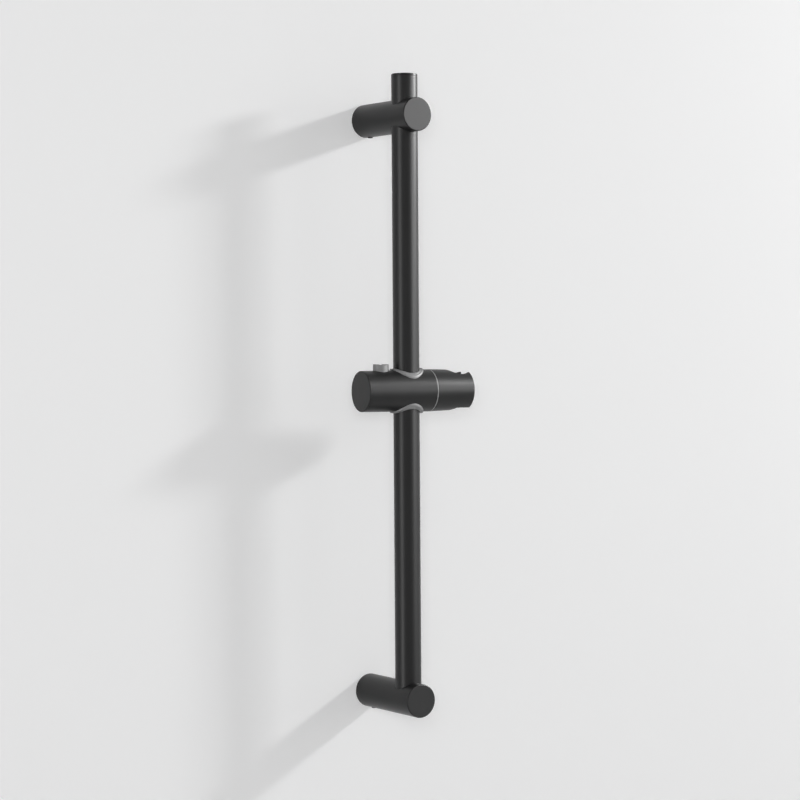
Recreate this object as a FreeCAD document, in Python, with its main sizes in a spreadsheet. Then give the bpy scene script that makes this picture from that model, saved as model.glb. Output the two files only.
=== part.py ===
# Shower slide rail: a tube carried on two wall posts, with a slider that runs up and down it,
# swivels round it, is held by a sprung brake and carries a tilting handset holder.
# Frame: origin midway between the two wall screw holes, on the wall plane; +Z up, -Y away from the wall.
# Lengths are millimetres, angles degrees.
import FreeCAD, Part
import math
import os
import Sketcher

driving_sizes = [
    # Rail and its top cap
    ("rail_diameter", 25.0, "outside diameter of the rail tube"),
    ("rail_wall", 1.2, "wall of the rail tube"),
    ("rail_above", 37.5, "rail tube above the upper post's axis"),
    ("socket_depth", 7.5, "rail tube below the lower post's axis, in its blind socket"),
    ("cap_thickness", 2.0, "top cap above the tube"),
    ("cap_edge", 0.8, "rounding of the top cap's rim"),
    ("cap_plug", 6.0, "length of the cap's plug inside the tube"),
    ("seam_chamfer", 0.3, "small bevel on each side of a seam"),
    # Wall posts
    ("post_spacing", 555.0, "distance between the two posts' axes"),
    ("post_diameter", 32.0, "outside diameter of a post"),
    ("post_length", 90.0, "post from the wall to its front face"),
    ("post_edge", 0.6, "bevel round a post's front face"),
    ("rail_standoff", 68.0, "wall to the rail's axis"),
    ("cavity_depth", 42.0, "depth of the hollow behind a post"),
    # Wall bosses and the screws in the posts
    ("boss_diameter", 24.0, "wall boss that a post slips over"),
    ("boss_length", 14.0, "length of a wall boss"),
    ("wall_screw_hole", 5.5, "hole for the wall screw"),
    ("wall_screw_sink", 10.5, "countersink for the wall screw's head"),
    ("boss_groove", 1.8, "depth of the boss's V groove"),
    ("grub_from_wall", 8.0, "wall to the grub screw's axis"),
    ("grub_diameter", 5.0, "grub screw that draws a post to the wall"),
    ("grub_proud", 0.8, "grub screw standing below the post"),
    ("grub_hex", 2.5, "hex socket of the grub screw, across flats"),
    ("rail_screw_diameter", 6.0, "screw in a post that clamps the rail"),
    ("rail_screw_length", 10.0, "length of the rail screw"),
    ("rail_screw_hex", 3.0, "hex socket of the rail screw, across flats"),
    ("hex_depth", 2.4, "depth of a grub screw's hex socket"),
    # Slider: where it stands at rest
    ("slider_height", 16.5, "slider's axis above the middle of the rail"),
    ("slider_swing", -5.0, "slider's turn about the rail at rest"),
    # Barrel and end cap
    ("barrel_diameter", 40.4, "outside diameter of the slider barrel at its pivot end"),
    ("barrel_draft", 0.8, "barrel's radius at its closed end, less than at its pivot end"),
    ("barrel_left", 34.6, "rail's surface to the barrel's closed end"),
    ("barrel_right", 10.8, "rail's surface to the barrel's pivot end"),
    ("barrel_bore", 24.0, "bore along the barrel, for the brake"),
    ("end_cap_thickness", 2.0, "flange of the end cap"),
    ("end_cap_edge", 0.8, "bevel round the end cap"),
    ("end_cap_spigot", 4.2, "length of the end cap's spigot"),
    ("end_cap_wall", 3.4, "wall of the end cap's spigot"),
    # Glide rings and guide bushes
    ("glide_room", 2.0, "rail's surface to the cross bore, for the glide rings and guide bushes"),
    ("waist_gap", 0.7, "rail's surface to the barrel between the glide rings"),
    ("glide_sink", 1.65, "glide ring below the lowest edge of the cross bore"),
    ("glide_height", 2.9, "height of a glide ring"),
    ("lip_overhang", 1.7, "guide bush's lip outside the cross bore"),
    ("lip_height", 1.5, "lip standing above the barrel's surface"),
    ("lip_round", 0.6, "rounding of the lip's edges"),
    # Pivot of the holder
    ("friction_ring", 1.1, "thickness of the ring between barrel and holder"),
    ("friction_ring_set", 0.1, "ring set back from the barrel's surface"),
    ("spigot_diameter", 18.0, "holder's pivot spigot"),
    ("spigot_length", 4.8, "length of the pivot spigot"),
    ("pivot_web", 1.35, "barrel wall between the spigot and the pivot screw's head"),
    ("pivot_screw_diameter", 6.0, "shank of the pivot screw"),
    ("pivot_screw_grip", 7.6, "pivot screw inside the holder, past its face"),
    ("pivot_head_diameter", 11.0, "head of the pivot screw"),
    ("pivot_head_height", 2.6, "height of the pivot screw's head"),
    ("pivot_hex", 4.0, "hex socket of the pivot screw, across flats"),
    ("pivot_hex_depth", 1.8, "depth of the pivot screw's socket"),
    ("disc_spring_height", 0.7, "disc spring under the pivot screw's head"),
    ("disc_spring_sheet", 0.35, "sheet of the disc spring"),
    # Handset holder
    ("holder_length", 40.3, "holder from its pivot face to its open end"),
    ("holder_taper", 1.2, "holder's radius at its open end, less than the barrel's"),
    ("holder_edge", 0.5, "bevel round the holder's open end"),
    ("flat_depth", 3.15, "holder's top and bottom flats below the barrel's surface"),
    ("flat_start", 21.4, "pivot face to where the holder begins to slope"),
    ("flat_slope", 4.0, "length of the slope down to the flats"),
    ("seat_from_end", 10.2, "open end to the seat's axis"),
    ("seat_mouth", 23.4, "diameter of the handset seat at the top flat"),
    ("seat_foot", 18.0, "diameter of the handset seat at the bottom flat"),
    ("seat_edge", 0.4, "bevel round the mouth and the foot of the seat"),
    ("slot_width", 15.0, "slot in the open end, for the hose"),
    # Release button
    ("button_diameter", 14.9, "diameter of the release button"),
    ("button_from_rail", 15.0, "rail's surface to the button's axis"),
    ("button_stand", 5.6, "button standing above the barrel"),
    ("button_edge", 0.4, "rounding of the button's rim"),
    ("button_travel", 4.0, "press of the button"),
    ("thumb_depth", 1.0, "depth of the thumb groove"),
    ("thumb_radius", 13.6, "radius of the thumb groove"),
    ("flange_diameter", 17.2, "button flange that stops it from coming out"),
    ("flange_thickness", 1.4, "thickness of the button's flange"),
    ("tongue_width", 6.0, "width of the button's wedge tongue"),
    ("tongue_room", 1.7, "bore's floor to the tongue's tip when pressed"),
    ("tongue_back", 3.0, "button's axis to the wedge face at the flange"),
    ("tongue_front", 3.0, "button's axis to the tongue's plain face"),
    ("wedge_slope", 0.3, "brake release for each millimetre of press"),
    # Brake
    ("shoe_from_rail", 2.5, "rail's surface to the front of the brake shoe"),
    ("shoe_length", 24.0, "length of the brake shoe"),
    ("pad_room", 0.6, "brake pad's rim to the glide rings above and below it"),
    ("pad_sink", 2.0, "depth of the pad's recess in the shoe"),
    ("spring_diameter", 12.4, "brake spring, to the middle of its wire"),
    ("spring_wire", 1.2, "wire of the brake spring"),
    ("spring_turns", 4.5, "turns of the brake spring"),
    ("spring_post", 2.0, "stub on the shoe that centres the spring"),
    # Clearances
    ("slip_clearance", 0.1, "gap between pieces that are fixed together"),
    ("running_clearance", 0.08, "gap between pieces that turn or slide in each other"),
    ("face_clearance", 0.05, "gap between flat faces that turn on each other"),
    ("free_clearance", 0.3, "gap between pieces that pass each other"),
]

doc = FreeCAD.newDocument("ShowerSlideRail")
sheet = doc.addObject("Spreadsheet::Sheet", "Sizes")
for row, (alias, number, note) in enumerate(driving_sizes, start=1):
    sheet.set(f"A{row}", note)
    sheet.set(f"B{row}", str(number))
    sheet.setAlias(f"B{row}", alias)
doc.recompute()


class Size:
    """A number of the sheet, or one worked out from it, with the expression that binds it."""

    def __init__(self, value, text):
        self.value = value
        self.text = text

    def __neg__(self):
        return Size(-self.value, f"(-{self.text})")

    def __add__(self, other):
        other = as_size(other)
        return Size(self.value + other.value, f"({self.text} + {other.text})")

    def __sub__(self, other):
        other = as_size(other)
        return Size(self.value - other.value, f"({self.text} - {other.text})")

    def __mul__(self, other):
        other = as_size(other)
        return Size(self.value * other.value, f"({self.text} * {other.text})")

    def __truediv__(self, other):
        other = as_size(other)
        return Size(self.value / other.value, f"({self.text} / {other.text})")


def as_size(number):
    if isinstance(number, Size):
        return number
    return Size(number, f"({number!r})")


def size(alias):
    return Size(float(sheet.get(alias)), f"{sheet.Name}.{alias}")


def root(number):
    return Size(math.sqrt(number.value), f"sqrt({number.text})")


# Values that several pieces share
rail_r = size("rail_diameter") / 2
rail_inner_r = rail_r - size("rail_wall")
standoff = size("rail_standoff")
upper_z = size("post_spacing") / 2
lower_z = -upper_z
rail_top = upper_z + size("rail_above")
rail_bottom = lower_z - size("socket_depth")
slip = size("slip_clearance")
running = size("running_clearance")
face_gap = size("face_clearance")
free = size("free_clearance")
seam = size("seam_chamfer")
post_r = size("post_diameter") / 2
boss_r = size("boss_diameter") / 2
groove_r = boss_r - size("boss_groove")
barrel_left = -rail_r - size("barrel_left")
barrel_right = rail_r + size("barrel_right")
barrel_r = size("barrel_diameter") / 2
barrel_end_r = barrel_r - size("barrel_draft")
draft_slope = size("barrel_draft") / (barrel_right - barrel_left)
barrel_mid_r = barrel_r - draft_slope * barrel_right
bore_r = size("barrel_bore") / 2
glide_bore_r = rail_r + size("glide_room")
glide_top = root(barrel_mid_r * barrel_mid_r - glide_bore_r * glide_bore_r) - size("glide_sink")
glide_foot = glide_top - size("glide_height")
shoulder_z = glide_foot - slip
holder_face = barrel_right + size("friction_ring")
holder_end = holder_face + size("holder_length")
spigot_r = size("spigot_diameter") / 2
spigot_end = holder_face - size("spigot_length")
spigot_floor = spigot_end - free
pivot_floor = spigot_floor - size("pivot_web")
pivot_r = size("pivot_screw_diameter") / 2
pivot_head_r = size("pivot_head_diameter") / 2
pivot_head_seat = pivot_floor - size("disc_spring_height") - face_gap
button_x = -rail_r - size("button_from_rail")
button_r = size("button_diameter") / 2
flange_r = size("flange_diameter") / 2
flange_top = root(bore_r * bore_r - flange_r * flange_r) - free
flange_bottom = flange_top - size("flange_thickness")
half_tongue = size("tongue_width") / 2
bore_floor = -root(bore_r * bore_r - half_tongue * half_tongue)
tongue_tip = bore_floor + size("tongue_room") + size("button_travel")
shoe_front = -rail_r - size("shoe_from_rail")
shoe_back = shoe_front - size("shoe_length")
shoe_r = bore_r - running
pad_r = glide_foot - size("pad_room")
release = size("button_travel") * size("wedge_slope")
past = barrel_r * 1.2

pieces = []


# Building blocks
def new_body(label):
    body = doc.addObject("PartDesign::Body", label)
    body.Label = label
    pieces.append(body)
    return body


def plane_of(body, role):
    return next(item for item in body.Origin.OriginFeatures if item.Role == role)


def bind(item, prop, number):
    if isinstance(number, Size):
        item.setExpression(prop, number.text)
    else:
        item.setExpression(prop, repr(number))


def new_sketch(body, role, along=0, up=0, out=0):
    """A sketch on one of the body's planes, shifted along the sketch's own axes."""
    sketch = body.newObject("Sketcher::SketchObject", body.Name + "_sketch")
    sketch.AttachmentSupport = [(plane_of(body, role), "")]
    sketch.MapMode = "FlatFace"
    for axis, number in (("x", along), ("y", up), ("z", out)):
        if isinstance(number, Size):
            bind(sketch, "AttachmentOffset.Base." + axis, number)
    return sketch


def pin(sketch, item, point, kind, number):
    """Fixes one coordinate of a sketch point, on the axis where the number is plain zero."""
    number = as_size(number)
    if number.value == 0:
        axis = -2 if kind == "DistanceX" else -1
        sketch.addConstraint(Sketcher.Constraint("PointOnObject", item, point, axis))
        return
    fixed = sketch.addConstraint(Sketcher.Constraint(kind, -1, 1, item, point, number.value))
    bind(sketch, f"Constraints[{fixed}]", number)


def outline(sketch, points):
    """A closed outline of straight edges through the points."""
    corners = [FreeCAD.Vector(as_size(u).value, as_size(v).value, 0) for u, v in points]
    count = len(points)
    edges = []
    for index in range(count):
        edge = Part.LineSegment(corners[index], corners[(index + 1) % count])
        edges.append(sketch.addGeometry(edge, False))
    for index in range(count):
        following = edges[(index + 1) % count]
        sketch.addConstraint(Sketcher.Constraint("Coincident", edges[index], 2, following, 1))
    for edge, (u, v) in zip(edges, points):
        pin(sketch, edge, 1, "DistanceX", u)
        pin(sketch, edge, 1, "DistanceY", v)


def circle(sketch, u, v, radius):
    centre = FreeCAD.Vector(as_size(u).value, as_size(v).value, 0)
    item = sketch.addGeometry(Part.Circle(centre, FreeCAD.Vector(0, 0, 1), radius.value), False)
    pin(sketch, item, 3, "DistanceX", u)
    pin(sketch, item, 3, "DistanceY", v)
    fixed = sketch.addConstraint(Sketcher.Constraint("Radius", item, radius.value))
    bind(sketch, f"Constraints[{fixed}]", radius)


def hexagon(sketch, across_flats):
    half = across_flats / 2
    corner = across_flats / math.sqrt(3)
    side = corner / 2
    outline(sketch, [(corner, 0), (side, half), (-side, half), (-corner, 0), (-side, -half), (side, -half)])


def turn(body, sketch, axis, kind="Revolution"):
    feature = body.newObject("PartDesign::" + kind, body.Name + "_" + kind.lower())
    feature.Profile = sketch
    feature.ReferenceAxis = (sketch, [axis])
    feature.Angle = 360
    return feature


def extrude(body, sketch, kind, length=None, side="One side", flip=False):
    """A pad or a pocket: through everything where no length is given."""
    feature = body.newObject("PartDesign::" + kind, body.Name + "_" + kind.lower())
    feature.Profile = sketch
    feature.SideType = side
    feature.Reversed = flip
    if length is None:
        feature.Type = "ThroughAll"
    else:
        bind(feature, "Length", length)
    return feature


def round_edges(body, kind, number, wanted):
    """Rounds or bevels the edges of the body's last feature that the test picks out."""
    doc.recompute()
    base = body.Tip
    names = [f"Edge{at}" for at, edge in enumerate(base.Shape.Edges, start=1) if wanted(edge)]
    feature = body.newObject("PartDesign::" + kind, body.Name + "_" + kind.lower())
    feature.Base = (base, names)
    bind(feature, "Radius" if kind == "Fillet" else "Size", number)


def turned(label, role, axis, points):
    body = new_body(label)
    sketch = new_sketch(body, role)
    outline(sketch, points)
    turn(body, sketch, axis)
    return body


def place(item, x=0, y=0, z=0):
    for axis, number in (("x", x), ("y", y), ("z", z)):
        if isinstance(number, Size):
            bind(item, "Placement.Base." + axis, number)


def place_on_rail(item):
    place(item, y=-standoff)


def place_on_slider(item):
    """Slider pieces are drawn about the crossing of the rail's and the barrel's axes, X along the barrel."""
    place(item, y=-standoff, z=size("slider_height"))
    bind(item, "Placement.Rotation.Angle", size("slider_swing"))


# Rail tube and top cap
def rail_tube():
    body = turned("rail_tube", "XZ_Plane", "V_Axis", [
        (rail_inner_r, rail_bottom),
        (rail_r, rail_bottom),
        (rail_r, rail_top - seam),
        (rail_r - seam, rail_top),
        (rail_inner_r, rail_top),
    ])
    place_on_rail(body)


def rail_top_cap():
    plug_r = rail_inner_r - slip
    plug_end = rail_top - size("cap_plug")
    cap_top = rail_top + size("cap_thickness")
    body = turned("rail_top_cap", "XZ_Plane", "V_Axis", [
        (0, plug_end),
        (plug_r, plug_end),
        (plug_r, rail_top),
        (rail_r - seam, rail_top),
        (rail_r, rail_top + seam),
        (rail_r, cap_top),
        (0, cap_top),
    ])
    round_edges(body, "Fillet", size("cap_edge"),
                lambda edge: abs(edge.CenterOfMass.z - cap_top.value) < 1e-6
                and edge.Curve.TypeId == "Part::GeomCircle")
    place_on_rail(body)


# Wall posts: hollow behind, with a web that carries the rail screw and a cross bore for the rail
def wall_post(label, height, is_upper):
    cavity_r = boss_r + slip
    thread_r = size("rail_screw_diameter") / 2 + slip
    cavity_floor = -size("cavity_depth")
    front = -size("post_length")
    edge = size("post_edge")
    body = turned(label, "XY_Plane", "V_Axis", [
        (cavity_r, 0),
        (post_r, 0),
        (post_r, front + edge),
        (post_r - edge, front),
        (0, front),
        (0, -standoff),
        (thread_r, -standoff),
        (thread_r, cavity_floor),
        (cavity_r, cavity_floor),
    ])
    bore = new_sketch(body, "XY_Plane")
    circle(bore, 0, -standoff, rail_r + slip)
    if is_upper:
        extrude(body, bore, "Pocket", side="Symmetric")
    else:
        socket = extrude(body, bore, "Pocket", length=size("socket_depth") + slip, side="Two sides")
        socket.Type2 = "ThroughAll"
    grub_hole = new_sketch(body, "XY_Plane")
    circle(grub_hole, 0, -size("grub_from_wall"), size("grub_diameter") / 2 + slip)
    extrude(body, grub_hole, "Pocket")
    place(body, z=height)


def wall_boss(label, height):
    hole_r = size("wall_screw_hole") / 2
    sink_r = size("wall_screw_sink") / 2
    groove = size("boss_groove")
    groove_y = -size("grub_from_wall")
    front = -size("boss_length")
    body = turned(label, "XY_Plane", "V_Axis", [
        (hole_r, 0),
        (boss_r, 0),
        (boss_r, groove_y + groove),
        (groove_r, groove_y),
        (boss_r, groove_y - groove),
        (boss_r, front),
        (sink_r, front),
        (hole_r, front + sink_r - hole_r),
    ])
    place(body, z=height)


# Headless screws: drawn from the socket end at the origin, pointing along +Z to a cone or a blunt tip
def headless_screw(label, radius, length, tip_r, hex_size):
    profile = [(0, 0), (radius, 0), (radius, length - radius + tip_r)]
    if tip_r.value > 0:
        profile.append((tip_r, length))
    profile.append((0, length))
    body = turned(label, "XZ_Plane", "V_Axis", profile)
    socket = new_sketch(body, "XY_Plane")
    hexagon(socket, size(hex_size))
    extrude(body, socket, "Pocket", length=size("hex_depth"), flip=True)
    return body


def boss_grub_screw(label, height):
    radius = size("grub_diameter") / 2
    outer_end = post_r + size("grub_proud")
    length = outer_end - groove_r - slip
    body = headless_screw(label, radius, length, as_size(0), "grub_hex")
    place(body, y=-size("grub_from_wall"), z=height - outer_end)


def rail_screw(label, height):
    radius = size("rail_screw_diameter") / 2
    length = size("rail_screw_length")
    body = headless_screw(label, radius, length, radius * 0.7, "rail_screw_hex")
    body.Placement.Rotation = FreeCAD.Rotation(FreeCAD.Vector(1, 0, 0), 90)
    place(body, y=length + rail_r + slip - standoff, z=height)


# Glide rings: they run on the rail, and the slider swivels on them
def glide_ring(label, side):
    inner_r = rail_r + running
    outer_r = glide_bore_r - running
    body = turned(label, "XZ_Plane", "V_Axis", [
        (inner_r, glide_foot * side),
        (outer_r, glide_foot * side),
        (outer_r, glide_top * side),
        (inner_r, glide_top * side),
    ])
    place_on_slider(body)


# Slider barrel: bored along its length for the brake and across it for the rail
def slider_barrel():
    head_clear_r = pivot_head_r + free
    body = turned("slider_barrel", "XY_Plane", "H_Axis", [
        (barrel_left, bore_r),
        (barrel_left, barrel_end_r - seam),
        (barrel_left + seam, barrel_end_r),
        (barrel_right - seam, barrel_r),
        (barrel_right, barrel_r - seam),
        (barrel_right, spigot_r + running),
        (spigot_floor, spigot_r + running),
        (spigot_floor, pivot_r + running),
        (pivot_floor, pivot_r + running),
        (pivot_floor, head_clear_r),
        (0, head_clear_r),
        (0, bore_r),
    ])
    waist_r = rail_r + size("waist_gap")
    cross_bore = new_sketch(body, "XZ_Plane")
    outline(cross_bore, [
        (0, -past),
        (glide_bore_r, -past),
        (glide_bore_r, -shoulder_z),
        (waist_r, -shoulder_z),
        (waist_r, shoulder_z),
        (glide_bore_r, shoulder_z),
        (glide_bore_r, past),
        (0, past),
    ])
    turn(body, cross_bore, "V_Axis", kind="Groove")
    button_hole = new_sketch(body, "XY_Plane")
    circle(button_hole, button_x, 0, button_r + running)
    extrude(body, button_hole, "Pocket", flip=True)
    place_on_slider(body)


def slider_end_cap():
    edge = size("end_cap_edge")
    outer = barrel_left - size("end_cap_thickness")
    spigot = barrel_left + size("end_cap_spigot")
    outside_r = bore_r - slip
    inside_r = outside_r - size("end_cap_wall")
    body = turned("slider_end_cap", "XY_Plane", "H_Axis", [
        (outer, 0),
        (outer, barrel_end_r - edge),
        (outer + edge, barrel_end_r),
        (barrel_left - seam, barrel_end_r),
        (barrel_left, barrel_end_r - seam),
        (barrel_left, outside_r),
        (spigot, outside_r),
        (spigot, inside_r),
        (barrel_left, inside_r),
        (barrel_left, 0),
    ])
    place_on_slider(body)


# Guide bushes: a sleeve in the cross bore under a saddle lip that follows the barrel's curve
def barrel_r_at(x):
    """The barrel's radius at a place along it, counted from the rail's axis."""
    return barrel_mid_r + draft_slope * x


def guide_bush(label, side):
    lip_r = glide_bore_r + size("lip_overhang")
    lip_height = size("lip_height")
    lip_top_r = barrel_mid_r + lip_height
    seat_r = barrel_mid_r + slip
    inner_r = rail_r + free
    sleeve_r = glide_bore_r - slip
    sleeve_end = glide_top + slip
    lip_low = root(seat_r * seat_r - lip_r * lip_r) - free
    body = turned(label, "XZ_Plane", "V_Axis", [
        (inner_r, lip_low * side),
        (lip_r, lip_low * side),
        (lip_r, past * side),
        (inner_r, past * side),
    ])
    saddle = new_sketch(body, "XY_Plane")
    outline(saddle, [
        (-past, 0),
        (past, 0),
        (past, barrel_r_at(past) + slip),
        (-past, barrel_r_at(-past) + slip),
    ])
    turn(body, saddle, "H_Axis", kind="Groove")
    crown = new_sketch(body, "XY_Plane")
    outline(crown, [
        (-past, barrel_r_at(-past) + lip_height),
        (past, barrel_r_at(past) + lip_height),
        (past, past * 2),
        (-past, past * 2),
    ])
    turn(body, crown, "H_Axis", kind="Groove")
    round_edges(body, "Fillet", size("lip_round"), lambda edge: above_barrel(edge, lip_height.value))
    sleeve = new_sketch(body, "XZ_Plane")
    sleeve_top = root(lip_top_r * lip_top_r - sleeve_r * sleeve_r) - lip_height
    outline(sleeve, [
        (inner_r, sleeve_end * side),
        (sleeve_r, sleeve_end * side),
        (sleeve_r, sleeve_top * side),
        (inner_r, sleeve_top * side),
    ])
    turn(body, sleeve, "V_Axis")
    place_on_slider(body)


def above_barrel(edge, height):
    """True where all of an edge lies at that height above the barrel's surface."""
    spots = [vertex.Point for vertex in edge.Vertexes]
    first, last = edge.ParameterRange
    spots += [edge.valueAt(first + (last - first) * share / 4) for share in range(5)]
    return all(abs(math.hypot(spot.y, spot.z) - barrel_r_at(spot.x).value - height) < 1e-3 for spot in spots)


# Pivot between the barrel and the holder
def friction_ring():
    outer_r = barrel_r - size("friction_ring_set")
    body = turned("friction_ring", "XY_Plane", "H_Axis", [
        (barrel_right, spigot_r + free),
        (barrel_right, outer_r),
        (holder_face - face_gap, outer_r),
        (holder_face - face_gap, spigot_r + free),
    ])
    place_on_slider(body)


def disc_spring():
    high = pivot_floor - size("disc_spring_height")
    sheet_thickness = size("disc_spring_sheet")
    inner_r = pivot_r + free
    body = turned("disc_spring", "XY_Plane", "H_Axis", [
        (high, inner_r),
        (high + sheet_thickness, inner_r),
        (pivot_floor, pivot_head_r),
        (pivot_floor - sheet_thickness, pivot_head_r),
    ])
    place_on_slider(body)


def pivot_screw():
    head_face = pivot_head_seat - size("pivot_head_height")
    tip = holder_face + size("pivot_screw_grip")
    body = turned("pivot_screw", "XY_Plane", "H_Axis", [
        (head_face, 0),
        (head_face, pivot_head_r),
        (pivot_head_seat, pivot_head_r),
        (pivot_head_seat, pivot_r),
        (tip - free, pivot_r),
        (tip, pivot_r - free),
        (tip, 0),
    ])
    socket = new_sketch(body, "YZ_Plane", out=head_face)
    hexagon(socket, size("pivot_hex"))
    extrude(body, socket, "Pocket", length=size("pivot_hex_depth"), flip=True)
    place_on_slider(body)


# Handset holder: a turned body with flats, an upright conical seat and a slot in its open end
def handset_holder():
    end_r = barrel_r - size("holder_taper")
    end_edge = size("holder_edge")
    thread_r = pivot_r + slip
    thread_end = holder_face + size("pivot_screw_grip") + free
    body = turned("handset_holder", "XY_Plane", "H_Axis", [
        (spigot_end, thread_r),
        (spigot_end, spigot_r),
        (holder_face, spigot_r),
        (holder_face, barrel_r - seam),
        (holder_face + seam, barrel_r),
        (holder_end - end_edge, end_r),
        (holder_end, end_r - end_edge),
        (holder_end, 0),
        (thread_end, 0),
        (thread_end, thread_r),
    ])
    flat = barrel_r - size("flat_depth")
    slope_start = holder_face + size("flat_start")
    slope_end = slope_start + size("flat_slope")
    beyond = holder_end + past
    flats = new_sketch(body, "XZ_Plane")
    for side in (1, -1):
        outline(flats, [
            (slope_start, barrel_r * side),
            (slope_end, flat * side),
            (beyond, flat * side),
            (beyond, past * side),
            (slope_start, past * side),
        ])
    extrude(body, flats, "Pocket", side="Symmetric")
    seat_x = holder_end - size("seat_from_end")
    mouth_r = size("seat_mouth") / 2
    foot_r = size("seat_foot") / 2
    seat_edge = size("seat_edge")
    seat = new_sketch(body, "XZ_Plane", along=seat_x)
    outline(seat, [
        (0, -past),
        (foot_r + seat_edge, -past),
        (foot_r + seat_edge, -flat),
        (foot_r, seat_edge - flat),
        (mouth_r, flat - seat_edge),
        (mouth_r + seat_edge, flat),
        (mouth_r + seat_edge, past),
        (0, past),
    ])
    turn(body, seat, "V_Axis", kind="Groove")
    half_slot = size("slot_width") / 2
    slot = new_sketch(body, "XY_Plane")
    outline(slot, [(seat_x, -half_slot), (beyond, -half_slot), (beyond, half_slot), (seat_x, half_slot)])
    extrude(body, slot, "Pocket", side="Symmetric")
    place_on_slider(body)


# Release button: a round head over a flange, with a wedge tongue below
def release_button():
    top = barrel_mid_r + size("button_stand")
    slope_run = (flange_bottom - tongue_tip) * size("wedge_slope")
    body = new_body("release_button")
    flange = new_sketch(body, "XY_Plane", out=flange_bottom)
    circle(flange, button_x, 0, flange_r)
    extrude(body, flange, "Pad", length=size("flange_thickness"))
    head = new_sketch(body, "XY_Plane", out=flange_bottom)
    circle(head, button_x, 0, button_r)
    extrude(body, head, "Pad", length=top - flange_bottom)
    tongue = new_sketch(body, "XZ_Plane")
    wedge_x = button_x - size("tongue_back")
    plain_x = button_x + size("tongue_front")
    outline(tongue, [
        (wedge_x, flange_top),
        (wedge_x, flange_bottom),
        (wedge_x + slope_run, tongue_tip),
        (plain_x, tongue_tip),
        (plain_x, flange_top),
    ])
    extrude(body, tongue, "Pad", length=size("tongue_width"), side="Symmetric")
    groove = new_sketch(body, "XZ_Plane")
    circle(groove, button_x, top + size("thumb_radius") - size("thumb_depth"), size("thumb_radius"))
    extrude(body, groove, "Pocket", side="Symmetric")
    round_edges(body, "Fillet", size("button_edge"), on_button_rim)
    place_on_slider(body)


def on_button_rim(edge):
    """True for the edges round the top of the button's head."""
    spots = [edge.valueAt(edge.FirstParameter), edge.valueAt(edge.LastParameter)]
    off_axis = [math.hypot(spot.x - button_x.value, spot.y) for spot in spots]
    on_head = all(abs(distance - button_r.value) < 1e-4 for distance in off_axis)
    level = abs(spots[0].z - spots[1].z) < 1e-4
    return on_head and level and edge.CenterOfMass.z > barrel_r.value


# Brake shoe: slides in the barrel's bore, drawn back by the button's wedge
def brake_shoe():
    body = new_body("brake_shoe")
    blank = new_sketch(body, "YZ_Plane", out=shoe_back)
    circle(blank, 0, 0, shoe_r)
    extrude(body, blank, "Pad", length=size("shoe_length"))
    centring = new_sketch(body, "YZ_Plane", out=shoe_back)
    circle(centring, 0, 0, (size("spring_diameter") - size("spring_wire")) / 2 - free)
    extrude(body, centring, "Pad", length=size("spring_post"), flip=True)
    pocket_floor = flange_bottom - size("button_travel") - free
    pocket_back = button_x - flange_r - free
    pocket_front = button_x + flange_r + free + release
    room = new_sketch(body, "XZ_Plane")
    outline(room, [
        (pocket_back, pocket_floor),
        (pocket_front, pocket_floor),
        (pocket_front, past),
        (pocket_back, past),
    ])
    extrude(body, room, "Pocket", side="Symmetric")
    wedge_slope = size("wedge_slope")
    wedge_x = button_x - size("tongue_back") - running
    slot_front = button_x + size("tongue_front") + release + free
    slot = new_sketch(body, "XZ_Plane")
    outline(slot, [
        (wedge_x, flange_bottom),
        (wedge_x + (flange_bottom + past) * wedge_slope, -past),
        (slot_front + past * wedge_slope, -past),
        (slot_front, flange_bottom),
    ])
    extrude(body, slot, "Pocket", length=size("tongue_width") + free * 2, side="Symmetric")
    recess = new_sketch(body, "YZ_Plane", out=shoe_front)
    circle(recess, 0, 0, pad_r + slip)
    extrude(body, recess, "Pocket", length=size("pad_sink"))
    place_on_slider(body)


def brake_pad():
    back = shoe_front - size("pad_sink")
    body = new_body("brake_pad")
    blank = new_sketch(body, "YZ_Plane", out=back)
    circle(blank, 0, 0, pad_r)
    extrude(body, blank, "Pad", length=-back - pad_r)
    rail_face = new_sketch(body, "XY_Plane")
    circle(rail_face, 0, 0, rail_r + free)
    extrude(body, rail_face, "Pocket", side="Symmetric")
    place_on_slider(body)


# Brake spring: a coil between the end cap's floor and the back of the shoe
def brake_spring():
    wire_r = size("spring_wire") / 2
    coil_r = size("spring_diameter") / 2
    first = barrel_left + wire_r + slip
    height = shoe_back - wire_r - slip - first
    coil = doc.addObject("Part::Helix", "spring_coil")
    bind(coil, "Radius", coil_r)
    bind(coil, "Height", height)
    bind(coil, "Pitch", height / size("spring_turns"))
    wire = doc.addObject("Part::Circle", "spring_wire_section")
    wire.Placement.Rotation = FreeCAD.Rotation(FreeCAD.Vector(1, 0, 0), 90)
    bind(wire, "Radius", wire_r)
    place(wire, x=coil_r)
    spring = doc.addObject("Part::Sweep", "brake_spring")
    spring.Label = "brake_spring"
    spring.Sections = [wire]
    spring.Spine = (coil, ["Edge1"])
    spring.Solid = True
    spring.Frenet = True
    doc.recompute()
    swing = FreeCAD.Rotation(FreeCAD.Vector(0, 0, 1), size("slider_swing").value)
    along_barrel = FreeCAD.Rotation(FreeCAD.Vector(0, 1, 0), 90)
    centre = FreeCAD.Vector(0, -standoff.value, size("slider_height").value)
    start = swing.multVec(FreeCAD.Vector(first.value, 0, 0))
    spring.Placement = FreeCAD.Placement(centre + start, swing.multiply(along_barrel))
    pieces.append(spring)


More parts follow.
